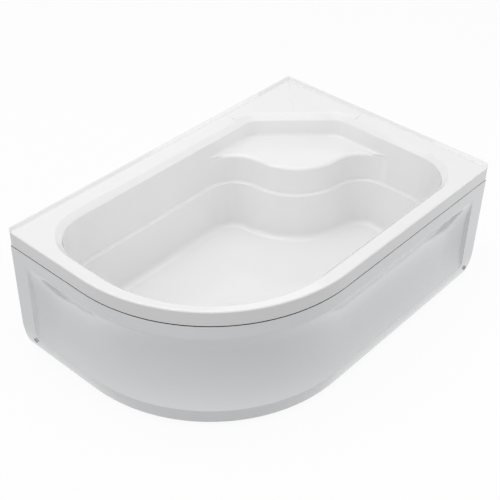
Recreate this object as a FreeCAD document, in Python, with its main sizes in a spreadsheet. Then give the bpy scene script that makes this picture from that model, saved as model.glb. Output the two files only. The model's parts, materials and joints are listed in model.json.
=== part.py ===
import FreeCAD, Part
import math
import os
import re
from collections import namedtuple

import Sketcher

# Deep asymmetric shower tray with a moulded corner seat, a curved front apron, a welded
# steel under-frame on screw feet and a low trap. Lengths are millimetres, angles degrees.
# +X runs along the long wall, +Y points at the long wall, +Z is up. The origin is on the
# floor under the middle of the tray. The wall corner is at +X +Y, the round corner at -X -Y.

V = FreeCAD.Vector
Z_AXIS = V(0, 0, 1)

SIZES = {
    # tray outside
    "tray_length": 1200.0,
    "tray_width": 800.0,
    "front_radius": 500.0,
    "outer_corner_radius": 8.0,
    "shell_thickness": 5.0,
    "skirt_height": 47.0,
    "rim_edge_radius": 5.0,
    "lip_height": 10.0,
    "lip_top_width": 4.0,
    "lip_foot_width": 10.0,
    "lip_cove_radius": 4.0,
    # basin
    "free_rim_width": 56.0,
    "wall_rim_width": 72.0,
    "basin_front_radius": 410.0,
    "basin_corner_radius": 135.0,
    "basin_bevel": 18.0,
    "basin_bevel_round": 7.0,
    "upper_draft": 3.5,
    "lower_draft": 10.0,
    "ledge_depth": 170.0,
    "ledge_width": 12.0,
    "ledge_edge_radius": 3.0,
    "basin_depth": 320.0,
    "floor_fillet_radius": 24.0,
    # seat in the wall corner
    "seat_depth": 75.0,
    "seat_back_leg": 208.0,
    "seat_back_corner_radius": 60.0,
    "seat_reach": 444.0,
    "seat_bulge_radius": 175.0,
    "seat_flank_radius": 125.0,
    "seat_edge_radius": 10.0,
    "seat_rear_fillet": 12.0,
    # deck strips that fall towards the basin, and the corner groove
    "deck_fall": 5.0,
    "long_strip_start": 330.0,
    "long_strip_end": 872.0,
    "short_strip_start": 98.0,
    "short_strip_end": 469.0,
    "groove_width": 6.0,
    "groove_depth": 1.5,
    # drain
    "drain_from_left": 380.0,
    "drain_from_front": 340.0,
    "drain_hole_diameter": 90.0,
    "sump_diameter": 220.0,
    "sump_floor_diameter": 130.0,
    "sump_depth": 5.0,
    "seal_thickness": 2.0,
    "flange_diameter": 112.0,
    "flange_thickness": 3.0,
    "trap_inner_diameter": 88.0,
    "trap_wall": 4.0,
    "trap_flange_diameter": 126.0,
    "trap_bottom": 8.0,
    "neck_length": 14.0,
    "neck_bore": 72.0,
    "insert_rim_width": 4.0,
    "insert_diameter": 50.0,
    "insert_wall": 2.5,
    "insert_bottom": 24.0,
    "weir_gap": 6.0,
    "weir_wall": 2.0,
    "weir_top": 54.0,
    "thread_clearance": 0.3,
    "outlet_height": 34.0,
    "outlet_bore": 40.6,
    "outlet_wall": 3.0,
    "outlet_reach": 92.0,
    "outlet_nut_diameter": 56.0,
    "outlet_nut_length": 22.0,
    "outlet_nut_cover": 12.0,
    "outlet_seal_length": 6.0,
    "cover_gap": 6.0,
    "cover_rise": 6.0,
    "cover_thickness": 2.0,
    "cover_diameter": 108.0,
    "cover_leg_diameter": 6.0,
    "cover_leg_circle": 66.0,
    # apron
    "apron_bottom": 10.0,
    "apron_seam": 4.0,
    "apron_setback": 1.0,
    "apron_thickness": 4.0,
    "apron_curve_height": 95.0,
    "apron_curve_inset": 15.0,
    "apron_flange_width": 24.0,
    "apron_edge_thickness": 2.0,
    "apron_edge_round": 1.5,
    "apron_groove_depth": 14.0,
    "apron_tongue_height": 20.0,
    "apron_tongue_thickness": 3.0,
    "tongue_clearance": 1.0,
    "recess_below_top": 43.0,
    "recess_bottom": 66.0,
    "recess_shoulder": 14.0,
    "recess_upper_pull": 26.0,
    "recess_upper_pull_height": 44.0,
    "recess_lower_pull": 48.0,
    "recess_lower_pull_height": 94.0,
    "recess_end_margin": 60.0,
    "recess_edge_length": 8.0,
    "recess_end_length": 110.0,
    "apron_screw_from_left_end": 47.0,
    "apron_screw_from_right_end": 26.0,
    "apron_screw_height": 44.0,
    "apron_screw_diameter": 5.0,
    "apron_screw_length": 16.0,
    "apron_screw_head_diameter": 9.0,
    "apron_screw_head_height": 3.5,
    "apron_cap_diameter": 15.0,
    "apron_cap_rim": 2.2,
    "apron_cap_rise": 1.8,
    "apron_cap_gap": 2.0,
    "apron_hole_clearance": 0.3,
    "bracket_width": 20.0,
    "bracket_thickness": 3.0,
    "bracket_below_screw": 14.0,
    "bracket_above_rail": 8.0,
    "clip_width": 30.0,
    "clip_thickness": 4.0,
    "clip_foot_height": 8.0,
    "clip_clearance": 0.6,
    # boards
    "floor_board_thickness": 16.0,
    "floor_board_trap_room": 7.0,
    "seat_board_thickness": 12.0,
    "seat_board_length": 220.0,
    "seat_board_width": 105.0,
    "seat_board_reach": 316.0,
    "rim_block_thickness": 16.0,
    "rim_block_length": 50.0,
    "rim_block_width": 44.0,
    # frame
    "rail_height": 64.0,
    "tube_side": 25.0,
    "tube_wall": 2.0,
    "wall_tube_inset": 32.0,
    "apron_tube_inset": 52.0,
    "left_rail_end": 425.0,
    "front_rail_end": 425.0,
    "front_brace_reach": 515.0,
    "cross_rail_left": 540.0,
    "cross_rail_right": 450.0,
    "mid_rail_left": 600.0,
    "mid_rail_right": 300.0,
    "plate_thickness": 3.0,
    "plate_side": 40.0,
    "plate_screw_spacing": 33.0,
    "plate_screw_diameter": 4.0,
    "plate_screw_length": 12.0,
    "plate_screw_head_diameter": 7.0,
    "plate_screw_head_height": 2.2,
    "plate_screw_clearance": 0.2,
    # feet
    "foot_from_rail_end": 15.0,
    "middle_foot_from_front": 400.0,
    "stud_diameter": 12.0,
    "stud_bore_clearance": 0.3,
    "stud_end_gap": 0.3,
    "stud_top_room": 3.0,
    "nut_width": 19.0,
    "nut_height": 10.0,
    "collar_height": 8.0,
    "pad_diameter": 40.0,
    "pad_top_diameter": 34.0,
    "pad_base_height": 6.0,
    "pad_boss_diameter": 24.0,
    "pad_height": 12.0,
    "pad_socket_depth": 6.0,
}

doc = FreeCAD.newDocument("shower_tray")
sheet = doc.addObject("Spreadsheet::Sheet", "Sizes")
for row, (alias, value) in enumerate(SIZES.items(), start=1):
    sheet.set(f"A{row}", alias)
    sheet.set(f"B{row}", str(value))
    sheet.setAlias(f"B{row}", alias)
doc.recompute()
s = namedtuple("Sizes", SIZES)(*(float(sheet.get(alias)) for alias in SIZES))

# Heights and sides worked out from the driving sizes.
LEFT = -s.tray_length / 2
RIGHT = s.tray_length / 2
FRONT = -s.tray_width / 2
BACK = s.tray_width / 2
RAIL_BOTTOM = s.rail_height
BOARD_BOTTOM = RAIL_BOTTOM + s.tube_side
FLOOR_UNDERSIDE = BOARD_BOTTOM + s.floor_board_thickness
FLOOR = FLOOR_UNDERSIDE + s.shell_thickness
SUMP = FLOOR - s.sump_depth
DECK = FLOOR + s.basin_depth
DECK_UNDERSIDE = DECK - s.shell_thickness
LIP_TOP = DECK + s.lip_height
SKIRT_BOTTOM = DECK - s.skirt_height
SEAT = DECK - s.seat_depth
LEDGE = DECK - s.ledge_depth
APRON_TOP = SKIRT_BOTTOM - s.apron_seam
DRAIN = V(LEFT + s.drain_from_left, FRONT + s.drain_from_front, 0)
CUT_MARGIN = 5.0

parts = []


def keep(obj, label):
    """Name an object as a sub-part that is written to its own file."""
    obj.Label = label
    parts.append(obj)
    return obj


def feature(label, shape):
    """Sub-part whose shape is worked out below."""
    obj = doc.addObject("Part::Feature", label)
    obj.Shape = shape
    return keep(obj, label)


def bind(obj, prop, text):
    """Bind a property to an expression written with the names of the sheet's sizes."""
    def cell(match):
        return "Sizes." + match.group(0) if match.group(0) in SIZES else match.group(0)
    obj.setExpression(prop, re.sub(r"[a-z][a-z_]*", cell, text))


def turned(angle):
    return FreeCAD.Rotation(Z_AXIS, angle)


def polar(radius, angle):
    return V(radius * math.cos(math.radians(angle)), radius * math.sin(math.radians(angle)), 0)


def heading_of(vector):
    return math.degrees(math.atan2(vector.y, vector.x))


# Plan paths. A path runs anticlockwise, so the inside of the tray is on its left. A bend with a
# growing angle has its centre inside, one with a falling angle has it outside.
Straight = namedtuple("Straight", "start end")
Bend = namedtuple("Bend", "centre radius first last")


def start_of(step):
    if isinstance(step, Straight):
        return step.start
    return step.centre + polar(step.radius, step.first)


def end_of(step):
    if isinstance(step, Straight):
        return step.end
    return step.centre + polar(step.radius, step.last)


def start_heading(step):
    if isinstance(step, Straight):
        return heading_of(step.end - step.start)
    return step.first + math.copysign(90, step.last - step.first)


def end_heading(step):
    if isinstance(step, Straight):
        return heading_of(step.end - step.start)
    return step.last + math.copysign(90, step.last - step.first)


def moved_in(path, distance):
    """The same path moved towards the inside."""
    steps = []
    for step in path:
        if isinstance(step, Straight):
            shift = polar(distance, start_heading(step) + 90)
            steps.append(Straight(step.start + shift, step.end + shift))
        else:
            side = math.copysign(1, step.last - step.first)
            steps.append(step._replace(radius=step.radius - side * distance))
    return steps


def plan_wire(path, height):
    up = V(0, 0, height)
    edges = []
    for step in path:
        if isinstance(step, Straight):
            edges.append(Part.makeLine(step.start + up, step.end + up))
        else:
            middle = step.centre + polar(step.radius, (step.first + step.last) / 2)
            edges.append(Part.Arc(start_of(step) + up, middle + up, end_of(step) + up).toShape())
    return Part.Wire(edges)


def slab(path, low, high):
    """Upright prism over a closed path."""
    return Part.Face(plan_wire(path, low)).extrude(V(0, 0, high - low))


def joined(shapes):
    return shapes[0].multiFuse(shapes[1:]).removeSplitter()


def profile(*steps):
    """Face in the X-Z plane. A step is a point, or an arc given as (through, end)."""
    points = [steps[0]]
    edges = []
    for step in steps[1:] + (steps[0],):
        here = V(points[-1][0], 0, points[-1][1])
        if isinstance(step[0], tuple):
            through, end = (V(x, 0, z) for x, z in step)
            edges.append(Part.Arc(here, through, end).toShape())
            points.append(step[1])
        else:
            edges.append(Part.makeLine(here, V(step[0], 0, step[1])))
            points.append(step)
    return Part.Face(Part.Wire(edges))


def across(section, point, heading):
    """Section stood at a point of a path, its X pointing to the inside."""
    return section.copy().rotate(V(), Z_AXIS, heading + 90).translate(point)


def swept(path, section):
    """Section carried along a path: straight runs are extruded and bends are turned."""
    pieces = []
    for step in path:
        face = across(section, start_of(step), start_heading(step))
        if isinstance(step, Straight):
            pieces.append(face.extrude(step.end - step.start))
        else:
            pieces.append(face.revolve(step.centre, Z_AXIS, step.last - step.first))
    return joined(pieces)


# Plan outlines of the tray.

def outer_path(inset):
    """Outside of the rim, moved in by inset: one large round corner and a square wall corner."""
    left, right = LEFT + inset, RIGHT - inset
    front, back = FRONT + inset, BACK - inset
    large = s.front_radius - inset
    small = s.outer_corner_radius - inset
    return [
        Straight(V(left + large, front), V(right - small, front)),
        Bend(V(right - small, front + small), small, -90, 0),
        Straight(V(right, front + small), V(right, back)),
        Straight(V(right, back), V(left + small, back)),
        Bend(V(left + small, back - small), small, 90, 180),
        Straight(V(left, back - small), V(left, front + large)),
        Bend(V(left + large, front + large), large, 180, 270),
    ]


BASIN_LEFT = LEFT + s.free_rim_width
BASIN_RIGHT = RIGHT - s.wall_rim_width
BASIN_FRONT = FRONT + s.free_rim_width
BASIN_BACK = BACK - s.wall_rim_width


def basin_path(corner):
    """Basin wall at deck level. The given steps fill the wall corner."""
    large = s.basin_front_radius
    small = s.basin_corner_radius
    return [
        Straight(V(BASIN_LEFT + large, BASIN_FRONT), V(BASIN_RIGHT - small, BASIN_FRONT)),
        Bend(V(BASIN_RIGHT - small, BASIN_FRONT + small), small, -90, 0),
        Straight(V(BASIN_RIGHT, BASIN_FRONT + small), start_of(corner[0])),
        *corner,
        Straight(end_of(corner[-1]), V(BASIN_LEFT + small, BASIN_BACK)),
        Bend(V(BASIN_LEFT + small, BASIN_BACK - small), small, 90, 180),
        Straight(V(BASIN_LEFT, BASIN_BACK - small), V(BASIN_LEFT, BASIN_FRONT + large)),
        Bend(V(BASIN_LEFT + large, BASIN_FRONT + large), large, 180, 270),
    ]


def seat_back_corner():
    """Straight seat back across the wall corner, with rounded ends."""
    radius = s.seat_back_corner_radius
    setback = radius * math.tan(math.radians(22.5))
    low = Bend(V(BASIN_RIGHT - radius, BASIN_BACK - s.seat_back_leg - setback), radius, 0, 45)
    high = Bend(V(BASIN_RIGHT - s.seat_back_leg - setback, BASIN_BACK - radius), radius, 45, 90)
    return [low, Straight(end_of(low), start_of(high)), high]


def seat_front_corner():
    """Seat front: a round bulge between two hollows that run out along the walls."""
    bulge, flank = s.seat_bulge_radius, s.seat_flank_radius
    middle = (s.seat_reach - bulge) / math.sqrt(2)
    near = s.wall_rim_width + flank
    far = middle + math.sqrt((bulge + flank) ** 2 - (near - middle) ** 2)
    lean = math.degrees(math.asin((near - middle) / (bulge + flank)))
    return [
        Bend(V(RIGHT - near, BACK - far), flank, 0, 90 - lean),
        Bend(V(RIGHT - middle, BACK - middle), bulge, 270 - lean, 180 + lean),
        Bend(V(RIGHT - far, BACK - near), flank, lean, 90),
    ]


UPPER_BASIN = basin_path(seat_back_corner())
POOL = basin_path(seat_front_corner())

# Basin wall in section: x is the distance in from the deck-level outline, z the height.
UPPER_SLOPE = math.tan(math.radians(s.upper_draft))
LOWER_SLOPE = math.tan(math.radians(s.lower_draft))
LEDGE_BACK = s.ledge_depth * UPPER_SLOPE
UPPER_CORE = s.seat_back_corner_radius - 3 * CUT_MARGIN


def wall_at(height):
    if height >= LEDGE:
        return (DECK - height) * UPPER_SLOPE
    return LEDGE_BACK + s.ledge_width + (LEDGE - height) * LOWER_SLOPE


FLOOR_EDGE = wall_at(FLOOR)
FLOOR_FLAT = FLOOR_EDGE + s.floor_fillet_radius
LOWER_CORE = FLOOR_FLAT + 2 * CUT_MARGIN


def on_circle(centre, radius, angle):
    return (centre[0] + radius * math.cos(math.radians(angle)),
            centre[1] + radius * math.sin(math.radians(angle)))


def bevel_rounds():
    """Centres of the rounds at the top and the foot of the 45 degree bevel round the basin."""
    bevel, radius = s.basin_bevel, s.basin_bevel_round
    lean = math.radians(s.upper_draft)
    reach = bevel + radius * math.sqrt(2)
    drop = (reach * math.cos(lean) - radius) / (math.cos(lean) - math.sin(lean))
    return (radius - reach, DECK - radius), (drop - reach, DECK - drop)


def basin_top(skin):
    """The hollow is open above the deck, and the solid around it ends within the deck."""
    return DECK - skin / 2 if skin else DECK + CUT_MARGIN


def upper_section(skin):
    """Space over the seat, or with a skin the solid that holds it."""
    upper, lower = bevel_rounds()
    top = basin_top(skin)
    bottom = SEAT - skin
    bend = s.basin_bevel_round - skin
    rear = s.seat_rear_fillet + skin
    wall_foot = wall_at(SEAT) - skin
    lean = s.upper_draft
    return profile(
        (UPPER_CORE, top),
        (upper[0], top),
        on_circle(upper, bend, 90),
        (on_circle(upper, bend, 67.5), on_circle(upper, bend, 45)),
        on_circle(lower, bend, 45),
        (on_circle(lower, bend, (45 + lean) / 2), on_circle(lower, bend, lean)),
        (wall_foot - rear * UPPER_SLOPE, bottom + rear),
        (on_circle((wall_foot + rear, bottom + rear), rear, 225), (wall_foot + rear, bottom)),
        (UPPER_CORE, bottom),
    )


def lower_section(skin):
    """Space under the seat level, or with a skin the solid that holds it."""
    round_edge = s.ledge_edge_radius
    top = SEAT
    ledge = LEDGE - skin
    back = LEDGE_BACK - skin
    nose = back + s.ledge_width
    bottom = FLOOR - skin
    fillet = s.floor_fillet_radius + skin
    lean = s.lower_draft
    rise = (1 - math.sin(math.radians(lean))) / math.cos(math.radians(lean))
    centre = (FLOOR_EDGE - skin + fillet * rise, bottom + fillet)
    hollow = (back + round_edge, ledge + round_edge)
    crown = (nose - round_edge, ledge - round_edge)
    return profile(
        (LOWER_CORE, top),
        (wall_at(SEAT) - skin, top),
        (back, ledge + round_edge),
        (on_circle(hollow, round_edge, 225), (back + round_edge, ledge)),
        (nose - round_edge, ledge),
        (on_circle(crown, round_edge, 45), (nose, ledge - round_edge)),
        on_circle(centre, fillet, 180 + lean),
        (on_circle(centre, fillet, 225 + lean / 2), (centre[0], bottom)),
        (LOWER_CORE, bottom),
    )


def basin_solid(skin):
    """The hollow of the basin, or with a skin the solid around it."""
    shapes = [
        swept(UPPER_BASIN, upper_section(skin)),
        slab(moved_in(UPPER_BASIN, UPPER_CORE - CUT_MARGIN), SEAT - skin, basin_top(skin)),
        swept(POOL, lower_section(skin)),
        slab(moved_in(POOL, LOWER_CORE - CUT_MARGIN), FLOOR - skin, SEAT),
    ]
    return joined(shapes)


def pool_wall_clearance():
    """Takes the seat's rear fillet away where the wall runs on down into the pool."""
    top = SEAT + s.seat_rear_fillet + CUT_MARGIN
    inside = wall_at(SEAT) + 2 * s.seat_rear_fillet
    return swept(POOL, profile((wall_at(SEAT), SEAT), (wall_at(top), top), (inside, top), (inside, SEAT)))


def seat_front_round():
    """Rounds the seat's front edge, up to the walls."""
    radius = s.seat_edge_radius
    foot = wall_at(SEAT - radius)
    edge = wall_at(SEAT)
    centre = (edge - radius, SEAT - radius)
    section = profile(
        (edge - radius, SEAT),
        (on_circle(centre, radius, 45), (foot, SEAT - radius)),
        (foot + CUT_MARGIN, SEAT - radius),
        (foot + CUT_MARGIN, SEAT),
    )
    room = slab(moved_in(UPPER_BASIN, foot), SEAT - radius, SEAT)
    return swept(seat_front_corner(), section).common(room)


LIP_SLOPE = math.degrees(math.atan2(s.lip_height, s.lip_foot_width - s.lip_top_width))
LIP_INNER = s.lip_foot_width + s.lip_cove_radius * math.tan(math.radians(LIP_SLOPE / 2))


def lip():
    """Upstand along both walls. Its sloping inner side runs into the deck with a small cove."""
    foot = DECK - s.rim_edge_radius
    cove = s.lip_cove_radius
    centre = (LIP_INNER, DECK + cove)
    section = profile(
        (0, foot),
        (0, LIP_TOP),
        (s.lip_top_width, LIP_TOP),
        on_circle(centre, cove, 270 - LIP_SLOPE),
        (on_circle(centre, cove, 270 - LIP_SLOPE / 2), (LIP_INNER, DECK)),
        (LIP_INNER, foot),
    )
    runs = [Straight(V(RIGHT, FRONT), V(RIGHT, BACK)), Straight(V(RIGHT, BACK), V(LEFT, BACK))]
    return joined([swept([run], section) for run in runs]).common(slab(outer_path(0), foot, LIP_TOP))


def rim():
    """Deck and skirt as an upside-down tray with a rounded top edge."""
    block = slab(outer_path(0), SKIRT_BOTTOM, DECK)
    top_edges = [e for e in block.Edges if e.BoundBox.ZMin > DECK - s.rim_edge_radius]
    block = block.makeFillet(s.rim_edge_radius, top_edges)
    return block.cut(slab(outer_path(s.shell_thickness), SKIRT_BOTTOM - CUT_MARGIN, DECK_UNDERSIDE))


def falling_strip(run, inner):
    """Wedge that lets the deck fall from the lip towards the basin."""
    above = DECK + CUT_MARGIN
    section = profile((LIP_INNER, DECK), (LIP_INNER, above), (inner, above), (inner, DECK - s.deck_fall))
    return swept([run], section)


def deck_strips():
    long_run = Straight(V(LEFT + s.long_strip_end, BACK), V(LEFT + s.long_strip_start, BACK))
    short_run = Straight(V(RIGHT, FRONT + s.short_strip_start), V(RIGHT, FRONT + s.short_strip_end))
    return [falling_strip(run, s.wall_rim_width) for run in (long_run, short_run)]


def corner_groove():
    """Shallow V from the wall corner to the middle of the seat back."""
    half = s.groove_width / 2
    section = profile((-half, DECK), (0, DECK - s.groove_depth), (half, DECK), (0, DECK + s.groove_depth))
    reach = (2 * s.wall_rim_width + s.seat_back_leg) / 2
    start = V(RIGHT - LIP_INNER, BACK - LIP_INNER)
    return swept([Straight(start, V(RIGHT - reach, BACK - reach))], section)


def sump(skin):
    """Shallow dish round the drain, or with a skin the boss under it."""
    top = s.sump_diameter / 2 + skin
    low = s.sump_floor_diameter / 2 + skin
    place = DRAIN + V(0, 0, SUMP - skin)
    return Part.makeCone(low, top, s.sump_depth, place)


def tray_shell():
    shell = joined([rim(), lip(), basin_solid(s.shell_thickness), sump(s.shell_thickness)])
    hollow = joined([basin_solid(0), pool_wall_clearance(), seat_front_round()])
    drain = Part.makeCylinder(s.drain_hole_diameter / 2, s.basin_depth, DRAIN)
    return shell.cut([hollow, sump(0), drain, corner_groove(), *deck_strips()]).removeSplitter()


feature("tray_shell", tray_shell())

# Apron: a curved panel under the free sides, with a long scooped recess.

APRON_FACE = s.apron_setback
APRON_CURVE_TOP = s.apron_bottom + s.apron_curve_height
APRON_CURVE_RADIUS = (s.apron_curve_height ** 2 + s.apron_curve_inset ** 2) / (2 * s.apron_curve_inset)


def apron_path(margin):
    """Along the left side, round the large corner and along the front."""
    large = s.front_radius
    return [
        Straight(V(LEFT, BACK - margin), V(LEFT, FRONT + large)),
        Bend(V(LEFT + large, FRONT + large), large, 180, 270),
        Straight(V(LEFT + large, FRONT), V(RIGHT - margin, FRONT)),
    ]


def apron_lean(height):
    """Angle by which the apron's face looks down at a height in its lower curve."""
    return math.degrees(math.asin((APRON_CURVE_TOP - height) / APRON_CURVE_RADIUS))


def apron_face(height):
    """How far in from the rim the apron's outer face is, at a height in its lower curve."""
    return APRON_FACE + APRON_CURVE_RADIUS * (1 - math.cos(math.radians(apron_lean(height))))


APRON_BLANK_DEPTH = s.apron_thickness + s.recess_lower_pull


def apron_section(skin):
    """Outside of the panel, or with a skin the hollow behind it."""
    face = APRON_FACE + skin
    low = s.apron_bottom + skin
    middle = (APRON_CURVE_TOP + low) / 2
    inside = APRON_BLANK_DEPTH + 2 * skin
    top = APRON_TOP + 2 * skin
    edge = s.apron_edge_round
    return profile(
        (face + edge, top),
        (on_circle((face + edge, top - edge), edge, 135), (face, top - edge)),
        (face, APRON_CURVE_TOP),
        ((apron_face(middle) + skin, middle), (apron_face(low) + skin, low)),
        (inside, low),
        (inside, top),
    )


RECESS_TOP = APRON_TOP - s.recess_below_top
RECESS_EDGE_SHARE = 0.45
END_STATIONS = 4


def recess_section(share, skin):
    """Scoop from the front: a soft shoulder, a hollow below it, running out at its foot."""
    outside = APRON_FACE - CUT_MARGIN
    face = APRON_FACE + skin
    top, bottom = RECESS_TOP, s.recess_bottom
    foot = apron_face(bottom) + skin
    curve = Part.BezierCurve()
    curve.setPoles([
        V(face, 0, top),
        V(face, 0, top - s.recess_shoulder),
        V(face + share * s.recess_upper_pull, 0, top - s.recess_upper_pull_height),
        V(face + share * s.recess_lower_pull, 0, bottom + s.recess_lower_pull_height),
        V(foot, 0, bottom),
    ])
    corners = [V(foot, 0, bottom), V(outside, 0, bottom), V(outside, 0, top), V(face, 0, top)]
    lines = [Part.makeLine(a, b) for a, b in zip(corners, corners[1:])]
    return Part.Face(Part.Wire([curve.toShape(), *lines]))


def recess_loft(stations, heading, skin, ruled):
    """Scoop between stations, each a place on the path and a share of the full depth."""
    wires = [across(recess_section(share, skin), place, heading).OuterWire for place, share in stations]
    return Part.makeLoft(wires, True, ruled)


def recess_end(inner, outward, heading, skin):
    """End of the scoop: a short steep edge, then a run that eases to the full depth."""
    vanishing = 0.02
    run = s.recess_end_length - s.recess_edge_length
    stations = []
    for i in range(END_STATIONS):
        ahead = i / (END_STATIONS - 1)
        share = 1 - (1 - RECESS_EDGE_SHARE) * ahead ** 2
        stations.append((inner + polar(ahead * run, outward), share))
    tip = (inner + polar(s.recess_end_length, outward), vanishing)
    run_out = recess_loft(stations, heading, skin, False)
    edge = recess_loft([stations[-1], tip], heading, skin, True)
    return [run_out, edge]


def recess(skin):
    """The whole scoop, full along the middle of the panel."""
    path = apron_path(s.recess_end_margin + s.recess_end_length)
    first, last = path[0], path[-1]
    return joined([
        swept(path, recess_section(1, skin)),
        *recess_end(first.start, start_heading(first) + 180, start_heading(first), skin),
        *recess_end(last.end, end_heading(last), end_heading(last), skin),
    ])


def apron_groove():
    """Thins the panel's top edge, so that a groove is left in front of the tongue."""
    front = APRON_FACE + s.apron_edge_thickness
    rear = APRON_FACE + s.apron_thickness + CUT_MARGIN
    low = APRON_TOP - s.apron_groove_depth
    high = APRON_TOP + CUT_MARGIN
    return swept(apron_path(-CUT_MARGIN), profile((front, low), (front, high), (rear, high), (rear, low)))


def apron_flange_end():
    """Everything of the panel's bottom flange that is beyond the flange's width."""
    front = s.apron_flange_width
    rear = APRON_BLANK_DEPTH + CUT_MARGIN
    low = s.apron_bottom - CUT_MARGIN
    high = s.apron_bottom + s.apron_thickness + CUT_MARGIN
    return swept(apron_path(-CUT_MARGIN), profile((front, low), (front, high), (rear, high), (rear, low)))


def apron_tongue():
    """Edge that slips up behind the skirt, standing on a shelf behind the panel."""
    front = s.shell_thickness + s.tongue_clearance
    rear = front + s.apron_tongue_thickness
    root = APRON_FACE + s.apron_thickness / 2
    neck = APRON_TOP - s.apron_groove_depth
    foot = neck - 2 * s.apron_tongue_thickness
    top = APRON_TOP + s.apron_tongue_height
    section = profile((root, foot), (root, neck), (front, neck), (front, top), (rear, top), (rear, foot))
    return swept(apron_path(s.outer_corner_radius), section)


def apron_screw_places():
    """Screw seat on the apron's face at each end, with the heading of the path there."""
    inward = apron_face(s.apron_screw_height)
    left = V(LEFT + inward, BACK - s.apron_screw_from_left_end, s.apron_screw_height)
    right = V(RIGHT - s.apron_screw_from_right_end, FRONT + inward, s.apron_screw_height)
    return {"left": (left, -90), "right": (right, 0)}


def on_apron_face(shape, place):
    """Move a shape made along +Z so that it stands out of the apron's face at a screw."""
    point, heading = place
    lean = apron_lean(s.apron_screw_height)
    shape = shape.copy()
    shape.rotate(V(), V(0, 1, 0), -90 - lean)
    shape.rotate(V(), Z_AXIS, heading + 90)
    return shape.translate(point)


def apron_panel():
    body = swept(apron_path(0), apron_section(0)).cut(recess(0))
    hollow = swept(apron_path(-CUT_MARGIN), apron_section(s.apron_thickness)).cut(recess(s.apron_thickness))
    panel = joined([body.cut([hollow, apron_groove(), apron_flange_end()]), apron_tongue()])
    radius = s.apron_screw_diameter / 2 + s.apron_hole_clearance
    depth = 2 * s.apron_thickness
    hole = Part.makeCylinder(radius, 2 * depth, V(0, 0, -depth))
    return panel.cut([on_apron_face(hole, place) for place in apron_screw_places().values()])


feature("apron_panel", apron_panel())


def half_cap(diameter, height):
    """Low dome standing on the X-Y plane."""
    radius = ((diameter / 2) ** 2 + height ** 2) / (2 * height)
    ball = Part.makeSphere(radius, V(0, 0, height - radius))
    return ball.common(Part.makeCylinder(diameter, 2 * height))


def apron_screw():
    length = s.apron_screw_length
    shank = Part.makeCylinder(s.apron_screw_diameter / 2, length, V(0, 0, -length))
    head = Part.makeCylinder(s.apron_screw_head_diameter / 2, s.apron_screw_head_height)
    return shank.fuse(head)


def apron_cap():
    """Cap pushed on the screw's head, clear of the panel."""
    room = s.apron_hole_clearance
    hollow = Part.makeCylinder(s.apron_screw_head_diameter / 2 + room, s.apron_screw_head_height + room)
    foot = V(0, 0, s.apron_cap_gap)
    rim = Part.makeCylinder(s.apron_cap_diameter / 2, s.apron_cap_rim, foot)
    dome = half_cap(s.apron_cap_diameter, s.apron_cap_rise)
    return rim.fuse(dome.translate(foot + V(0, 0, s.apron_cap_rim))).cut(hollow)


def at_apron_screws(shape):
    return Part.makeCompound([on_apron_face(shape, place) for place in apron_screw_places().values()])


feature("apron_screws", at_apron_screws(apron_screw()))
feature("apron_screw_caps", at_apron_screws(apron_cap()))


def apron_bracket(place):
    """Bent strap that leans on the back of the apron and reaches to the corner post."""
    point, heading = place
    low = s.apron_screw_height - s.bracket_below_screw
    high = RAIL_BOTTOM + s.bracket_above_rail
    thick = s.bracket_thickness
    low_face = apron_face(low) + s.apron_thickness
    high_face = apron_face(high) + s.apron_thickness
    post = s.apron_tube_inset - s.tube_side / 2
    section = profile((low_face, low), (high_face, high), (post, high), (post, high - thick),
                      (high_face + thick, high - thick), (low_face + thick, low))
    inward = polar(apron_face(s.apron_screw_height), heading + 90)
    edge = V(point.x, point.y, 0) - inward - polar(s.bracket_width / 2, heading)
    strap = across(section, edge, heading).extrude(polar(s.bracket_width, heading))
    radius = s.apron_screw_diameter / 2 + s.apron_hole_clearance
    reach = 2 * s.apron_screw_length
    return strap.cut(on_apron_face(Part.makeCylinder(radius, 2 * reach, V(0, 0, -reach)), place))


for side, place in apron_screw_places().items():
    feature(f"apron_bracket_{side}", apron_bracket(place))


def apron_clip(point, heading):
    """Clip on the back of the skirt that reaches down behind the apron's tongue."""
    skirt = s.shell_thickness + s.clip_clearance
    front = s.shell_thickness + s.tongue_clearance + s.apron_tongue_thickness + s.clip_clearance
    rear = front + s.clip_thickness
    foot = APRON_TOP + s.apron_tongue_height + s.clip_clearance
    top = foot + s.clip_foot_height
    section = profile((front, APRON_TOP), (front, foot), (skirt, foot),
                      (skirt, top), (rear, top), (rear, APRON_TOP))
    start = point - polar(s.clip_width / 2, heading)
    return across(section, start, heading).extrude(polar(s.clip_width, heading))


def apron_clips():
    """One clip near each end, one at each end of the large corner and one in its middle."""
    left, bend, front = apron_path(0)
    clips = [apron_clip((left.start + left.end) / 2, -90), apron_clip((front.start + front.end) / 2, 0)]
    for share in (0.1, 0.5, 0.9):
        angle = bend.first + share * (bend.last - bend.first)
        clips.append(apron_clip(bend.centre + polar(bend.radius, angle), angle + 90))
    return Part.makeCompound(clips)


feature("apron_clips", apron_clips())

# Sketched bodies: boards, blocks, tubes and posts.


def new_body(label):
    return keep(doc.addObject("PartDesign::Body", label), label)


def sketch_on(body, role, height=None):
    """Empty sketch on one of the body's own planes, raised by an expression if one is given."""
    plane = next(f for f in body.Origin.OriginFeatures if f.Role == role)
    sketch = body.newObject("Sketcher::SketchObject", "sketch")
    sketch.AttachmentSupport = [(plane, "")]
    sketch.MapMode = "FlatFace"
    if height:
        bind(sketch, "AttachmentOffset.Base.z", height)
    return sketch


def constrain(sketch, kind, *places, size=None):
    if size is None:
        return sketch.addConstraint(Sketcher.Constraint(kind, *places))
    index = sketch.addConstraint(Sketcher.Constraint(kind, *places, 1.0))
    bind(sketch, f"Constraints[{index}]", size)
    return index


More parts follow.
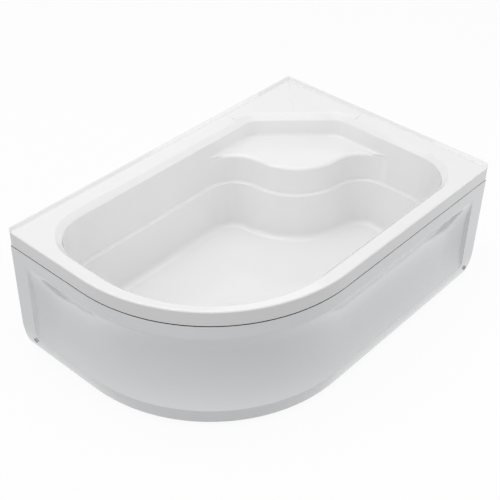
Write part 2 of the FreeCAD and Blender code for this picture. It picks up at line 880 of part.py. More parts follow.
def polygon(sketch, corners):
    """Closed outline of straight lines through rough corners. Returns the first line's number."""
    first = sketch.GeometryCount
    count = len(corners)
    for a, b in zip(corners, corners[1:] + corners[:1]):
        sketch.addGeometry(Part.LineSegment(a, b))
    for i in range(count):
        constrain(sketch, "Coincident", first + i, 2, first + (i + 1) % count, 1)
    return first


def rectangle(sketch, width, height):
    """Rectangle about the sketch's origin."""
    first = polygon(sketch, [V(-1, -1), V(1, -1), V(1, 1), V(-1, 1)])
    for i in (0, 2):
        constrain(sketch, "Horizontal", first + i)
        constrain(sketch, "Vertical", first + i + 1)
    constrain(sketch, "Symmetric", first, 1, first + 1, 2, -1, 1)
    constrain(sketch, "DistanceX", first, 1, first, 2, size=width)
    constrain(sketch, "DistanceY", first + 1, 1, first + 1, 2, size=height)


def trapezium(sketch, length, width):
    """Bar seen from above with both ends cut at 45 degrees, its long edge at +Y."""
    first = polygon(sketch, [V(-50, -5), V(50, -5), V(60, 5), V(-60, 5)])
    for i in (0, 2):
        constrain(sketch, "Symmetric", first + i, 1, first + i, 2, -2)
    constrain(sketch, "DistanceX", first, 1, first, 2, size=f"{length} - {width}")
    constrain(sketch, "DistanceX", first + 2, 2, first + 2, 1, size=f"{length} + {width}")
    constrain(sketch, "DistanceY", first, 1, -1, 1, size=f"{width} / 2")
    constrain(sketch, "DistanceY", -1, 1, first + 2, 1, size=f"{width} / 2")


def round_hole(sketch, diameter, along=None, behind=False):
    """Circle on the sketch's X axis, at its origin or a distance ahead of it or behind it."""
    spot = sketch.addGeometry(Part.Circle(V(-3 if behind else 3, 0), Z_AXIS, 1))
    constrain(sketch, "Diameter", spot, size=diameter)
    if along is None:
        constrain(sketch, "Coincident", spot, 3, -1, 1)
        return
    constrain(sketch, "PointOnObject", spot, 3, -1)
    ends = (spot, 3, -1, 1) if behind else (-1, 1, spot, 3)
    constrain(sketch, "DistanceX", *ends, size=along)


def raised(body, kind, sketch, length, reverse=False, midplane=False):
    """Pad or Pocket of a given length."""
    made = body.newObject(f"PartDesign::{kind}", kind.lower())
    made.Profile = sketch
    made.Midplane = midplane
    made.Reversed = reverse
    bind(made, "Length", length)
    return made


def plate_holes(sketch):
    size = "plate_screw_diameter + 2 * plate_screw_clearance"
    for behind in (False, True):
        round_hole(sketch, size, "plate_screw_spacing / 2", behind)


def placed(obj, point, angle=0):
    obj.Placement = FreeCAD.Placement(point, turned(angle))
    return obj


def drilled_board(label, length, width, thickness, point, angle=0):
    """Flat board with the two screw holes of the post under it."""
    body = new_body(label)
    sketch = sketch_on(body, "XY_Plane")
    rectangle(sketch, length, width)
    plate_holes(sketch)
    raised(body, "Pad", sketch, thickness)
    return placed(body, point, angle)


def tube(label, length, start, heading, foot_at=None):
    """Square tube along a heading, with its axis through start and a hole where a foot goes in."""
    body = new_body(label)
    section = sketch_on(body, "YZ_Plane")
    rectangle(section, "tube_side", "tube_side")
    rectangle(section, "tube_side - 2 * tube_wall", "tube_side - 2 * tube_wall")
    raised(body, "Pad", section, length)
    if foot_at:
        mark = sketch_on(body, "XY_Plane")
        round_hole(mark, "stud_diameter + 2 * stud_bore_clearance", foot_at)
        raised(body, "Pocket", mark, "tube_side")
    return placed(body, start, heading)


def brace(label, length, middle, heading):
    """Square tube with both ends cut at 45 degrees, its long side to the left of the heading."""
    body = new_body(label)
    plan = sketch_on(body, "XY_Plane")
    trapezium(plan, length, "tube_side")
    raised(body, "Pad", plan, "tube_side", midplane=True)
    bore = sketch_on(body, "YZ_Plane")
    rectangle(bore, "tube_side - 2 * tube_wall", "tube_side - 2 * tube_wall")
    raised(body, "Pocket", bore, f"2 * ({length})", midplane=True)
    return placed(body, middle, heading)


def post(label, height, foot, point, angle=0):
    """Upright square tube with a closed foot and a drilled plate on top."""
    body = new_body(label)
    outside = sketch_on(body, "XY_Plane")
    rectangle(outside, "tube_side", "tube_side")
    raised(body, "Pad", outside, height)
    inside = sketch_on(body, "XY_Plane", "tube_wall")
    rectangle(inside, "tube_side - 2 * tube_wall", "tube_side - 2 * tube_wall")
    raised(body, "Pocket", inside, height, reverse=True)
    if foot:
        hole = sketch_on(body, "XY_Plane")
        round_hole(hole, "stud_diameter + 2 * stud_bore_clearance")
        raised(body, "Pocket", hole, "2 * tube_wall", reverse=True)
    top = sketch_on(body, "XY_Plane", height)
    rectangle(top, "plate_side", "plate_side")
    plate_holes(top)
    raised(body, "Pad", top, "plate_thickness")
    return placed(body, point, angle)


RAIL_AXIS = RAIL_BOTTOM + s.tube_side / 2
HALF_TUBE = s.tube_side / 2
LEFT_RAIL_X = LEFT + s.apron_tube_inset
FRONT_RAIL_Y = FRONT + s.apron_tube_inset
SIDE_RAIL_X = RIGHT - s.wall_tube_inset
REAR_RAIL_Y = BACK - s.wall_tube_inset
CROSS_RAIL_RIGHT_X = RIGHT - s.cross_rail_right
POSTS = {
    "left": V(LEFT_RAIL_X, REAR_RAIL_Y, RAIL_BOTTOM),
    "corner": V(SIDE_RAIL_X, REAR_RAIL_Y, RAIL_BOTTOM),
    "right": V(SIDE_RAIL_X, FRONT_RAIL_Y, RAIL_BOTTOM),
}
RIM_BLOCK_BOTTOM = DECK_UNDERSIDE - s.rim_block_thickness
SEAT_BOARD_BOTTOM = SEAT - s.shell_thickness - s.seat_board_thickness
SEAT_POST = V(RIGHT, BACK, 0) - polar(s.seat_board_reach, 45)


def floor_board():
    """Stiffening board under the flat of the floor, cut out for the trap."""
    room = s.sump_diameter / 2 + s.shell_thickness + s.floor_board_trap_room
    plan = slab(moved_in(POOL, FLOOR_FLAT), BOARD_BOTTOM, FLOOR_UNDERSIDE)
    return plan.cut(Part.makeCylinder(room, FLOOR, DRAIN))


feature("floor_board", floor_board())
drilled_board("seat_board", "seat_board_length", "seat_board_width", "seat_board_thickness",
              SEAT_POST + V(0, 0, SEAT_BOARD_BOTTOM), -45)
for side, point in POSTS.items():
    drilled_board(f"rim_block_{side}", "rim_block_length", "rim_block_width", "rim_block_thickness",
                  V(point.x, point.y, RIM_BLOCK_BOTTOM))

RAIL_TOP_TO_DECK = "basin_depth + floor_board_thickness"
CORNER_POST_HEIGHT = f"{RAIL_TOP_TO_DECK} + tube_side - rim_block_thickness - plate_thickness"
SEAT_POST_HEIGHT = f"{RAIL_TOP_TO_DECK} - seat_depth - seat_board_thickness - plate_thickness"
for side, point in POSTS.items():
    post(f"post_{side}", CORNER_POST_HEIGHT, True, point)
post("seat_post", SEAT_POST_HEIGHT, False, SEAT_POST + V(0, 0, BOARD_BOTTOM), -45)

ACROSS_TRAY = "tray_width - apron_tube_inset - wall_tube_inset - tube_side"
tube("rear_rail", "tray_length - apron_tube_inset - wall_tube_inset - tube_side",
     V(LEFT_RAIL_X + HALF_TUBE, REAR_RAIL_Y, RAIL_AXIS), 0)
tube("side_rail", ACROSS_TRAY, V(SIDE_RAIL_X, FRONT_RAIL_Y + HALF_TUBE, RAIL_AXIS), 90)
tube("left_rail", "tray_width - wall_tube_inset - tube_side / 2 - left_rail_end",
     V(LEFT_RAIL_X, FRONT + s.left_rail_end, RAIL_AXIS), 90, "foot_from_rail_end")
tube("front_rail", "tray_length - wall_tube_inset - tube_side / 2 - front_rail_end",
     V(LEFT + s.front_rail_end, FRONT_RAIL_Y, RAIL_AXIS), 0, "foot_from_rail_end")
tube("cross_rail_left", ACROSS_TRAY, V(LEFT + s.cross_rail_left, FRONT_RAIL_Y + HALF_TUBE, RAIL_AXIS), 90)
tube("cross_rail_right", ACROSS_TRAY, V(CROSS_RAIL_RIGHT_X, FRONT_RAIL_Y + HALF_TUBE, RAIL_AXIS), 90,
     "middle_foot_from_front - apron_tube_inset - tube_side / 2")
tube("mid_rail_left", "cross_rail_left - apron_tube_inset - tube_side",
     V(LEFT_RAIL_X + HALF_TUBE, FRONT + s.mid_rail_left, RAIL_AXIS), 0)
tube("mid_rail_right", "cross_rail_right - wall_tube_inset - tube_side",
     V(CROSS_RAIL_RIGHT_X + HALF_TUBE, FRONT + s.mid_rail_right, RAIL_AXIS), 0)
brace("front_brace", "(front_brace_reach - 2 * apron_tube_inset - tube_side) * sqrt(2)",
      V(LEFT + s.front_brace_reach / 2, FRONT + s.front_brace_reach / 2, RAIL_AXIS), -45)
brace("seat_brace", "2 * seat_board_reach - (2 * wall_tube_inset + tube_side) * sqrt(2)",
      V(SEAT_POST.x, SEAT_POST.y, RAIL_AXIS), 135)


def plate_screws():
    """Two screws up through each post's plate."""
    height = s.plate_screw_head_height
    head = Part.makeCylinder(s.plate_screw_head_diameter / 2, height, V(0, 0, -height))
    screw = head.fuse(Part.makeCylinder(s.plate_screw_diameter / 2, s.plate_screw_length))
    seats = [(V(point.x, point.y, RIM_BLOCK_BOTTOM), 0) for point in POSTS.values()]
    seats.append((SEAT_POST + V(0, 0, SEAT_BOARD_BOTTOM), -45))
    screws = []
    for point, angle in seats:
        for turn in (0, 180):
            spot = point + polar(s.plate_screw_spacing / 2, angle + turn)
            screws.append(screw.copy().translate(spot - V(0, 0, s.plate_thickness)))
    return Part.makeCompound(screws)


feature("plate_screws", plate_screws())

# Screw feet: a nut on the frame, a stud with a collar, and a pad that the stud turns in.

FEET = {
    "left_rear": POSTS["left"],
    "wall_corner": POSTS["corner"],
    "right_front": POSTS["right"],
    "left_front": V(LEFT_RAIL_X, FRONT + s.left_rail_end + s.foot_from_rail_end),
    "front_left": V(LEFT + s.front_rail_end + s.foot_from_rail_end, FRONT_RAIL_Y),
    "middle": V(CROSS_RAIL_RIGHT_X, FRONT + s.middle_foot_from_front),
}
FLOOR_TEXT = "(rail_height + tube_side + floor_board_thickness + shell_thickness)"
STUD_BORE_TEXT = "stud_diameter + 2 * stud_bore_clearance"
COLLAR_TOP_TEXT = "(rail_height - nut_height - stud_end_gap)"
STUD_FOOT_TEXT = "(pad_height - pad_socket_depth + stud_end_gap)"


def cylinder(diameter, height, low=None):
    made = doc.addObject("Part::Cylinder", "cylinder")
    bind(made, "Radius", f"({diameter}) / 2")
    bind(made, "Height", height)
    if low:
        bind(made, "Placement.Base.z", low)
    return made


def hexagon(height, low):
    """Hexagonal prism measured across its flats."""
    made = doc.addObject("Part::Prism", "hexagon")
    made.Polygon = 6
    bind(made, "Circumradius", "nut_width / sqrt(3)")
    bind(made, "Height", height)
    bind(made, "Placement.Base.z", low)
    return made


def fused(*shapes):
    made = doc.addObject("Part::MultiFuse", "fused")
    made.Shapes = list(shapes)
    made.Refine = True
    return made


def cut(base, tool):
    made = doc.addObject("Part::Cut", "cut")
    made.Base = base
    made.Tool = tool
    return made


def foot_nut(place):
    low = "rail_height - nut_height"
    nut = cut(hexagon("nut_height", low), cylinder(STUD_BORE_TEXT, "nut_height", low))
    return placed(nut, V(place.x, place.y, 0))


def foot_stud(place):
    top = "(rail_height + tube_side - tube_wall - stud_top_room)"
    rod = cylinder("stud_diameter", f"{top} - {STUD_FOOT_TEXT}", STUD_FOOT_TEXT)
    collar = hexagon("collar_height", f"{COLLAR_TOP_TEXT} - collar_height")
    return placed(fused(rod, collar), V(place.x, place.y, 0))


def foot_pad(place):
    base = doc.addObject("Part::Cone", "base")
    bind(base, "Radius1", "pad_diameter / 2")
    bind(base, "Radius2", "pad_top_diameter / 2")
    bind(base, "Height", "pad_base_height")
    boss = cylinder("pad_boss_diameter", "pad_height")
    socket = cylinder(STUD_BORE_TEXT, "pad_socket_depth", "pad_height - pad_socket_depth")
    return placed(cut(fused(base, boss), socket), V(place.x, place.y, 0))


nuts = doc.addObject("Part::Compound", "foot_nuts")
nuts.Links = [foot_nut(place) for place in FEET.values()]
keep(nuts, "foot_nuts")
for name, place in FEET.items():
    keep(foot_stud(place), f"foot_stud_{name}")
    keep(foot_pad(place), f"foot_pad_{name}")

# Drain: flange, seals, trap with a side outlet, lift-out insert and a domed cover.

SUMP_TEXT = f"({FLOOR_TEXT} - sump_depth)"
FLANGE_FOOT_TEXT = f"({SUMP_TEXT} + seal_thickness)"
FLANGE_TOP_TEXT = f"({FLANGE_FOOT_TEXT} + flange_thickness)"
TRAP_TOP_TEXT = f"({SUMP_TEXT} - shell_thickness - seal_thickness)"
FLANGE_TOP = SUMP + s.seal_thickness + s.flange_thickness
COVER_LEGS = 4


def washer(outside, inside, height, low):
    return cut(cylinder(outside, height, low), cylinder(inside, height, low))


def drain_seal(flange, low):
    """Flat ring between the tray and a flange, a little smaller than the flange."""
    return washer(f"{flange} - 2 * seal_thickness", "drain_hole_diameter", "seal_thickness", low)


def waste_flange():
    foot = f"({TRAP_TOP_TEXT} - neck_length)"
    disc = cylinder("flange_diameter", "flange_thickness", FLANGE_FOOT_TEXT)
    neck = cylinder("trap_inner_diameter - 2 * thread_clearance", f"{FLANGE_TOP_TEXT} - {foot}", foot)
    bore = cylinder("neck_bore", f"{FLANGE_TOP_TEXT} - {foot}", foot)
    seat = cylinder("neck_bore + 2 * insert_rim_width", "flange_thickness", FLANGE_FOOT_TEXT)
    return cut(fused(disc, neck), fused(bore, seat))


def trap_insert():
    """Dip tube that hangs by its rim in the flange."""
    rim_size = "neck_bore + 2 * insert_rim_width - 2 * thread_clearance"
    top = cylinder(rim_size, "flange_thickness", FLANGE_FOOT_TEXT)
    length = f"{FLANGE_TOP_TEXT} - insert_bottom"
    pipe = cylinder("insert_diameter", length, "insert_bottom")
    bore = cylinder("insert_diameter - 2 * insert_wall", length, "insert_bottom")
    return cut(fused(top, pipe), bore)


def sideways(shape, start):
    """Turn a cylinder made along +Z to lie along +Y at the outlet's height, from a distance out."""
    shape.Placement = FreeCAD.Placement(V(0, start, s.outlet_height), FreeCAD.Rotation(V(1, 0, 0), -90))
    return shape


def trap_body():
    """Pot with a side outlet. The weir keeps the water standing over the dip tube's mouth."""
    depth = f"{TRAP_TOP_TEXT} - trap_bottom"
    outside = cylinder("trap_inner_diameter + 2 * trap_wall", depth, "trap_bottom")
    collar = cylinder("trap_flange_diameter", "trap_wall", f"{TRAP_TOP_TEXT} - trap_wall")
    spout = sideways(cylinder("outlet_bore + 2 * outlet_wall", "outlet_reach"), 0)
    well = cylinder("trap_inner_diameter", depth, "trap_bottom + trap_wall")
    way = sideways(cylinder("outlet_bore", "outlet_reach"), 0)
    hollow_trap = cut(fused(outside, collar, spout), fused(well, way))
    weir_bore = "insert_diameter + 2 * weir_gap"
    weir = washer(f"{weir_bore} + 2 * weir_wall", weir_bore, "weir_top - trap_bottom", "trap_bottom")
    return fused(hollow_trap, weir)


def outlet_nut():
    start = s.outlet_reach - s.outlet_nut_cover
    body = sideways(cylinder("outlet_nut_diameter", "outlet_nut_length"), start)
    thread = sideways(cylinder("outlet_bore + 2 * outlet_wall + 2 * thread_clearance",
                               "outlet_nut_cover + outlet_seal_length"), start)
    mouth = sideways(cylinder("outlet_bore + 2 * thread_clearance", "outlet_nut_length"), start)
    return cut(body, fused(thread, mouth))


def outlet_seal():
    ring = sideways(cylinder("outlet_bore + 2 * outlet_wall", "outlet_seal_length"), s.outlet_reach)
    hole = sideways(cylinder("outlet_bore", "outlet_seal_length"), s.outlet_reach)
    return cut(ring, hole)


def strainer_cover():
    """Domed disc on four legs, with a gap under its edge for the water."""
    edge = FLANGE_TOP + s.cover_gap
    rise, half = s.cover_rise, s.cover_diameter / 2
    radius = (half ** 2 + rise ** 2) / (2 * rise)
    sag = radius - math.sqrt(radius ** 2 - (half / 2) ** 2)
    crown, thick = edge + rise, s.cover_thickness
    disc = profile((0, crown), ((half / 2, crown - sag), (half, edge)), (half, edge + thick),
                   ((half / 2, crown + thick - sag), (0, crown + thick)))
    dome = disc.revolve(V(), Z_AXIS, 360)
    leg = Part.makeCylinder(s.cover_leg_diameter / 2, crown + thick / 2 - FLANGE_TOP, V(0, 0, FLANGE_TOP))
    turns = [360 / COVER_LEGS * (i + 0.5) for i in range(COVER_LEGS)]
    legs = [leg.copy().translate(polar(s.cover_leg_circle / 2, turn)) for turn in turns]
    room = disc.copy().revolve(V(), Z_AXIS, 360).translate(V(0, 0, thick))
    return joined([dome, *legs]).cut(room)


for label, made in (
    ("waste_flange", waste_flange()),
    ("flange_seal", drain_seal("flange_diameter", SUMP_TEXT)),
    ("trap_seal", drain_seal("trap_flange_diameter", TRAP_TOP_TEXT)),
    ("trap_body", trap_body()),
    ("trap_insert", trap_insert()),
    ("outlet_nut", outlet_nut()),
    ("outlet_seal", outlet_seal()),
):
    placed(keep(made, label), DRAIN)
placed(feature("strainer_cover", strainer_cover()), DRAIN)

# Check the document, then write one file for each sub-part.

doc.recompute()
for obj in doc.Objects:
    if "Invalid" in obj.State or "Error" in obj.State:
        raise RuntimeError(f"{obj.Label} did not rebuild: {obj.State}")
for obj in parts:
    if obj.Shape.isNull() or not obj.Shape.isValid() or not obj.Shape.Solids:
        raise RuntimeError(f"{obj.Label} has no valid solid")

os.makedirs("parts", exist_ok=True)
for obj in parts:
    obj.Shape.exportStep(f"parts/{obj.Label}.step")
    print(obj.Label, len(obj.Shape.Solids), round(obj.Shape.Volume), len(obj.Shape.Faces))
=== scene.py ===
import json
import math

import bpy
from mathutils import Matrix, Vector

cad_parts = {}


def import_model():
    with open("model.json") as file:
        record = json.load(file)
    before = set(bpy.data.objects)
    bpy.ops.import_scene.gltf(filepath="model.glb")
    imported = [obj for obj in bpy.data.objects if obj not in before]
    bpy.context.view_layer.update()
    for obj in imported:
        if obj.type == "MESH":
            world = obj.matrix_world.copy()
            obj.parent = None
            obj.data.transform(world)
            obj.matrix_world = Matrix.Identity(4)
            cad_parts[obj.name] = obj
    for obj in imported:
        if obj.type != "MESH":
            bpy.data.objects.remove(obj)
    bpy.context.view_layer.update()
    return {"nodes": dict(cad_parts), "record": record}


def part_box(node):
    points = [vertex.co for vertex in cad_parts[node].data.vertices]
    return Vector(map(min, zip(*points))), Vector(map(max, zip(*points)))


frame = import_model()

# Deep white shower tray seen from above its round corner. Lengths are metres, +Z is up.

WHITE = (1.0, 1.0, 1.0)
NOISE_DETAIL = 4.0
BUMP_STRENGTH = 1.0

# Material nodes


def new_material(name):
    """Node material with an empty tree but for its shader and output."""
    material = bpy.data.materials.new(name)
    material.use_nodes = True
    nodes = material.node_tree.nodes
    return material, nodes, material.node_tree.links, nodes["Principled BSDF"]


def own_place(nodes):
    """Coordinates in the object's own frame."""
    return nodes.new("ShaderNodeTexCoord").outputs["Object"]


def parts_of(nodes, links, source):
    """Sockets of a vector's X, Y and Z."""
    made = nodes.new("ShaderNodeSeparateXYZ")
    links.new(source, made.inputs["Vector"])
    return made.outputs


def noise(nodes, links, scale):
    """Noise over the object's own coordinates."""
    texture = nodes.new("ShaderNodeTexNoise")
    texture.inputs["Scale"].default_value = scale
    texture.inputs["Detail"].default_value = NOISE_DETAIL
    links.new(own_place(nodes), texture.inputs["Vector"])
    return texture.outputs["Fac"]


def ramp(nodes, links, source, low, high, spread=(0.3, 0.7)):
    """Colour ramp between two colours."""
    made = nodes.new("ShaderNodeValToRGB")
    first, last = made.color_ramp.elements
    first.position, last.position = spread
    first.color = (*low, 1.0)
    last.color = (*high, 1.0)
    links.new(source, made.inputs["Fac"])
    return made.outputs["Color"]


def spread_of(nodes, links, source, low, high):
    """Value from none to one mapped to a range of numbers."""
    made = nodes.new("ShaderNodeMapRange")
    made.inputs["To Min"].default_value = low
    made.inputs["To Max"].default_value = high
    links.new(source, made.inputs["Value"])
    return made.outputs["Result"]


def worked_out(nodes, links, kind, operation, *sources):
    """Math node of a kind, fed by sockets or plain values; gives the socket of its result."""
    made = nodes.new(kind)
    made.operation = operation
    for socket, source in zip(made.inputs, sources):
        if isinstance(source, bpy.types.NodeSocket):
            links.new(source, socket)
        else:
            socket.default_value = source
    return next(socket for socket in made.outputs if socket.enabled)


def number(nodes, links, operation, *sources):
    """Result of an operation on numbers."""
    return worked_out(nodes, links, "ShaderNodeMath", operation, *sources)


def vector(nodes, links, operation, *sources):
    """Result of an operation on vectors."""
    return worked_out(nodes, links, "ShaderNodeVectorMath", operation, *sources)


def bump(nodes, links, shader, height, depth):
    """Relief of a given depth, from a height between none and one."""
    made = nodes.new("ShaderNodeBump")
    made.inputs["Strength"].default_value = BUMP_STRENGTH
    made.inputs["Distance"].default_value = depth
    links.new(height, made.inputs["Height"])
    links.new(made.outputs["Normal"], shader.inputs["Normal"])


def mix_shaders(nodes, links, share, first, second):
    """Blend of two shaders: the first where the share is none, the second where it is one."""
    mix = nodes.new("ShaderNodeMixShader")
    links.new(share, mix.inputs["Fac"])
    links.new(first, mix.inputs[1])
    links.new(second, mix.inputs[2])
    return mix.outputs["Shader"]


# Finishes


def surface(name, low, high, rough, grain, metallic=0.0, wave=0.0, wave_scale=None):
    """Opaque surface with a fine change of colour and roughness and, where it has one, a shallow wave."""
    material, nodes, links, shader = new_material(name)
    fine = noise(nodes, links, grain)
    links.new(ramp(nodes, links, fine, low, high), shader.inputs["Base Color"])
    links.new(spread_of(nodes, links, fine, *rough), shader.inputs["Roughness"])
    shader.inputs["Metallic"].default_value = metallic
    if wave:
        bump(nodes, links, shader, noise(nodes, links, wave_scale), wave)
    return material


ACRYLIC_GLOSS = {"IOR": 1.49, "Coat Weight": 1.0, "Coat Roughness": 0.03}


def acrylic(name, low, high):
    """Glossy cast acrylic with the slight waviness of a vacuum-formed sheet."""
    material = surface(name, low, high, rough=(0.1, 0.16), grain=9.0, wave=0.0003, wave_scale=7.0)
    shader = material.node_tree.nodes["Principled BSDF"]
    for socket, value in ACRYLIC_GLOSS.items():
        shader.inputs[socket].default_value = value
    return material


TRAY_WHITE = (0.915, 0.915, 0.915), (0.925, 0.925, 0.925)
APRON_WHITE = (0.91, 0.933, 0.948), (0.922, 0.945, 0.96)
# Black of painted shade, for the apron's seam and the screw caps' sides.
PAINTED_SHADE_BLACK = (0.03, 0.03, 0.032)

SLOT_FINISHES = {
    "tray_white": acrylic("tray_acrylic", *TRAY_WHITE),
    "frame_steel": surface("grey_powder_coat", (0.36, 0.37, 0.39), (0.42, 0.43, 0.45), rough=(0.4, 0.55),
                           grain=900.0, wave=0.00005, wave_scale=900.0),
    "zinc_steel": surface("zinc_plated_steel", (0.55, 0.56, 0.58), (0.68, 0.68, 0.68), rough=(0.25, 0.42),
                          grain=220.0, metallic=1.0),
    "board": surface("particle_board", (0.42, 0.3, 0.18), (0.62, 0.47, 0.3), rough=(0.7, 0.9),
                     grain=260.0, wave=0.0003, wave_scale=260.0),
    "dark_plastic": surface("dark_moulded_plastic", (0.02, 0.02, 0.022), (0.035, 0.035, 0.038),
                            rough=(0.45, 0.6), grain=500.0, wave=0.00004, wave_scale=700.0),
    "trap_plastic": surface("satin_trap_plastic", (0.68, 0.68, 0.67), (0.76, 0.76, 0.75), rough=(0.3, 0.42),
                            grain=80.0),
    "seal_rubber": surface("seal_rubber", (0.012, 0.012, 0.012), (0.025, 0.025, 0.025), rough=(0.6, 0.8),
                           grain=400.0),
    "chrome": surface("polished_chrome", (0.75, 0.76, 0.77), (0.8, 0.81, 0.82), rough=(0.05, 0.12),
                      grain=150.0, metallic=1.0),
}


def partly_black(material, share):
    """Painted shade: black where the share is one, with the material's own colour elsewhere."""
    nodes, links = material.node_tree.nodes, material.node_tree.links
    colour = nodes["Principled BSDF"].inputs["Base Color"]
    mix = nodes.new("ShaderNodeMix")
    mix.data_type = "RGBA"
    links.new(share(nodes, links), mix.inputs["Factor"])
    links.new(colour.links[0].from_socket, mix.inputs["A"])
    mix.inputs["B"].default_value = (*PAINTED_SHADE_BLACK, 1.0)
    links.new(mix.outputs["Result"], colour)
    return material


# The apron hangs on a tongue, which lies behind its face and stands above the face's upper edge.
# The tongue's length and the edge are measured down from the tongue's top.
APRON_CORNER_RADIUS = 0.499
TONGUE_DEPTH = 0.0025
TONGUE_LENGTH = 0.036
TONGUE_ABOVE_EDGE = 0.0207


def on_tongue(nodes, links):
    """Painted seam shade: one on the apron's upper edge and the tongue behind it, measured from its round
    corner's centre.
    """
    low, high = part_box("apron_panel")
    centre = (low.x + APRON_CORNER_RADIUS, low.y + APRON_CORNER_RADIUS, 0)
    place = own_place(nodes)
    outward = vector(nodes, links, "MAXIMUM", vector(nodes, links, "SUBTRACT", centre, place), (0, 0, 0))
    radius = vector(nodes, links, "LENGTH", vector(nodes, links, "MULTIPLY", outward, (1, 1, 0)))
    behind = number(nodes, links, "LESS_THAN", radius, APRON_CORNER_RADIUS - TONGUE_DEPTH)
    height = parts_of(nodes, links, place)["Z"]
    above = number(nodes, links, "GREATER_THAN", height, high.z - TONGUE_LENGTH)
    edge = number(nodes, links, "GREATER_THAN", height, high.z - TONGUE_ABOVE_EDGE)
    return number(nodes, links, "MAXIMUM", edge, number(nodes, links, "MULTIPLY", behind, above))


CAP_SIDE_LIMIT = 0.5


def on_cap_side(nodes, links):
    """Painted shade: one on the side of a screw cap, coloured black for the shadow in the gap under it; the
    left cap looks along X, the right one along Y.
    """
    facing = parts_of(nodes, links, nodes.new("ShaderNodeNewGeometry").outputs["True Normal"])
    right_cap = number(nodes, links, "GREATER_THAN", parts_of(nodes, links, own_place(nodes))["X"], 0.0)
    along = nodes.new("ShaderNodeMix")
    links.new(right_cap, along.inputs["Factor"])
    links.new(facing["X"], along.inputs["A"])
    links.new(facing["Y"], along.inputs["B"])
    outward = number(nodes, links, "ABSOLUTE", along.outputs["Result"])
    return number(nodes, links, "LESS_THAN", outward, CAP_SIDE_LIMIT)


NODE_FINISHES = {
    # Painted shade: the apron's tongue and upper edge are black for the shadow in the seam under the skirt.
    "apron_panel": partly_black(acrylic("apron_acrylic_painted_seam_shade", *APRON_WHITE), on_tongue),
    # Painted shade: the caps' sides are black for the shadow in the gap under them.
    "apron_screw_caps": partly_black(acrylic("cap_white_painted_side_shade", *TRAY_WHITE), on_cap_side),
}


def dress_nodes():
    """Give every node of the frame its own finish, or the finish of its slot."""
    for part in frame["record"]["subparts"]:
        name = part["node"]
        finish = NODE_FINISHES[name] if name in NODE_FINISHES else SLOT_FINISHES[part["material_slot"]]
        materials = frame["nodes"][name].data.materials
        materials.clear()
        materials.append(finish)


dress_nodes()

# Floor, world and lamps

FLOOR_HALF = 15.0
FLOOR_LIT = (0.22, 0.22, 0.22)
FLOOR_ROUGHNESS = 0.9
FLOOR_PLAIN_SHARE = 0.92
SKY_LEVEL = 0.44
SKY_RISE = 0.36


def seen_directly(nodes, links):
    """One where the camera, a gloss or a clear surface sees the backdrop, none for the light it gives."""
    path = nodes.new("ShaderNodeLightPath")
    seen = path.outputs["Is Camera Ray"]
    for kind in ("Is Glossy Ray", "Is Transmission Ray"):
        seen = number(nodes, links, "MAXIMUM", seen, path.outputs[kind])
    return seen


def floor_material():
    """Plain floor that looks white and still takes the tray's shadow."""
    material, nodes, links, shader = new_material("floor_white")
    seen = seen_directly(nodes, links)
    colour = ramp(nodes, links, seen, FLOOR_LIT, WHITE, (0.0, 1.0))
    links.new(colour, shader.inputs["Base Color"])
    shader.inputs["Roughness"].default_value = FLOOR_ROUGHNESS
    shader.inputs["Specular IOR Level"].default_value = 0.0
    plain = nodes.new("ShaderNodeEmission")
    share = number(nodes, links, "MULTIPLY", seen, FLOOR_PLAIN_SHARE)
    mixed = mix_shaders(nodes, links, share, shader.outputs["BSDF"], plain.outputs["Emission"])
    links.new(mixed, nodes["Material Output"].inputs["Surface"])
    return material


def floor():
    """Level square that the feet stand on, part of the stage."""
    mesh = bpy.data.meshes.new("floor")
    signs = ((-1, -1), (1, -1), (1, 1), (-1, 1))
    corners = [(x * FLOOR_HALF, y * FLOOR_HALF, 0) for x, y in signs]
    mesh.from_pydata(corners, [], [(0, 1, 2, 3)])
    mesh.materials.append(floor_material())
    made = bpy.data.objects.new("floor", mesh)
    bpy.context.scene.collection.objects.link(made)


def world():
    """White surroundings for the eye, and a soft sky that is brighter overhead for the light."""
    made = bpy.data.worlds.new("studio")
    bpy.context.scene.world = made
    made.use_nodes = True
    nodes, links = made.node_tree.nodes, made.node_tree.links
    height = parts_of(nodes, links, nodes.new("ShaderNodeTexCoord").outputs["Generated"])["Z"]
    sky = nodes["Background"]
    sky.inputs["Color"].default_value = (*WHITE, 1.0)
    level = spread_of(nodes, links, height, SKY_LEVEL, SKY_LEVEL + SKY_RISE)
    links.new(level, sky.inputs["Strength"])
    plain = nodes.new("ShaderNodeBackground")
    plain.inputs["Color"].default_value = (*WHITE, 1.0)
    seen = seen_directly(nodes, links)
    mixed = mix_shaders(nodes, links, seen, sky.outputs["Background"], plain.outputs["Background"])
    links.new(mixed, nodes["World Output"].inputs["Surface"])


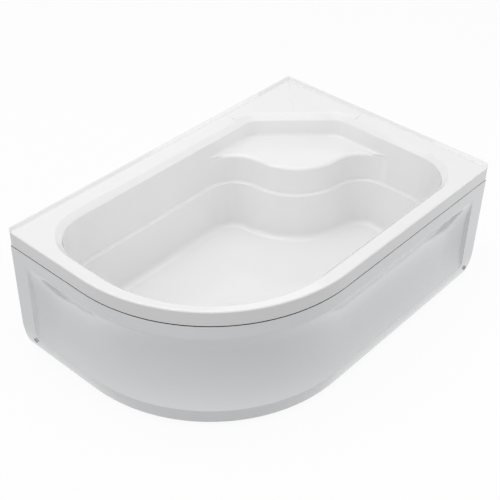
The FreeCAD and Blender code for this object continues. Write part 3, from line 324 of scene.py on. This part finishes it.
def lamp(name, place, target, width, length, power):
    """Soft lamp that looks at a target."""
    data = bpy.data.lights.new(name, "AREA")
    data.shape = "RECTANGLE"
    data.size = width
    data.size_y = length
    data.energy = power
    made = bpy.data.objects.new(name, data)
    made.location = place
    made.rotation_euler = (Vector(target) - Vector(place)).to_track_quat("-Z", "Y").to_euler()
    bpy.context.scene.collection.objects.link(made)


floor()
world()
lamp("overhead_strip", place=(-0.5, 0.8, 3.0), target=(-0.5, 0.8, 0), width=0.15, length=2.8, power=8.0)
lamp("overhead_box", place=(0.15, 0.1, 1.5), target=(0.15, 0.1, 0), width=1.4, length=1.0, power=2.2)
lamp("left", place=(-2.4, 0.7, 2.0), target=(0.2, 0.0, 0.3), width=1.2, length=1.2, power=5.5)
lamp("right", place=(1.3, -1.1, 0.65), target=(0.55, -0.4, 0.25), width=0.8, length=0.8, power=2.3)
lamp("front", place=(-1.8, -1.8, 0.9), target=(-0.2, -0.1, 0.2), width=1.2, length=1.2, power=5.0)

# Camera

CAMERA_PLACE = Vector((-1.87852, -1.60428, 2.16467))
CAMERA_YAW = math.radians(41.12)
CAMERA_PITCH = math.radians(38.01)
CAMERA_ROLL = math.radians(1.21)
PHOTO_WIDTH_PX = 500.0
FOCAL_PX = 1037.52
SENSOR_WIDTH = 36.0


def camera():
    """Camera at the photo's viewpoint, turned from +X by its yaw and looking down by its pitch."""
    level = math.cos(CAMERA_PITCH)
    forward = Vector((level * math.cos(CAMERA_YAW), level * math.sin(CAMERA_YAW), -math.sin(CAMERA_PITCH)))
    flat_right = Vector((math.sin(CAMERA_YAW), -math.cos(CAMERA_YAW), 0))
    flat_up = flat_right.cross(forward)
    right = math.cos(CAMERA_ROLL) * flat_right + math.sin(CAMERA_ROLL) * flat_up
    up = right.cross(forward)
    data = bpy.data.cameras.new("photo_camera")
    data.sensor_width = SENSOR_WIDTH
    data.lens = FOCAL_PX / PHOTO_WIDTH_PX * SENSOR_WIDTH
    made = bpy.data.objects.new("photo_camera", data)
    turn = Matrix((right, up, -forward)).transposed().to_4x4()
    made.matrix_world = Matrix.Translation(CAMERA_PLACE) @ turn
    bpy.context.scene.collection.objects.link(made)
    bpy.context.scene.camera = made


camera()
bpy.context.scene.view_settings.view_transform = "Standard"
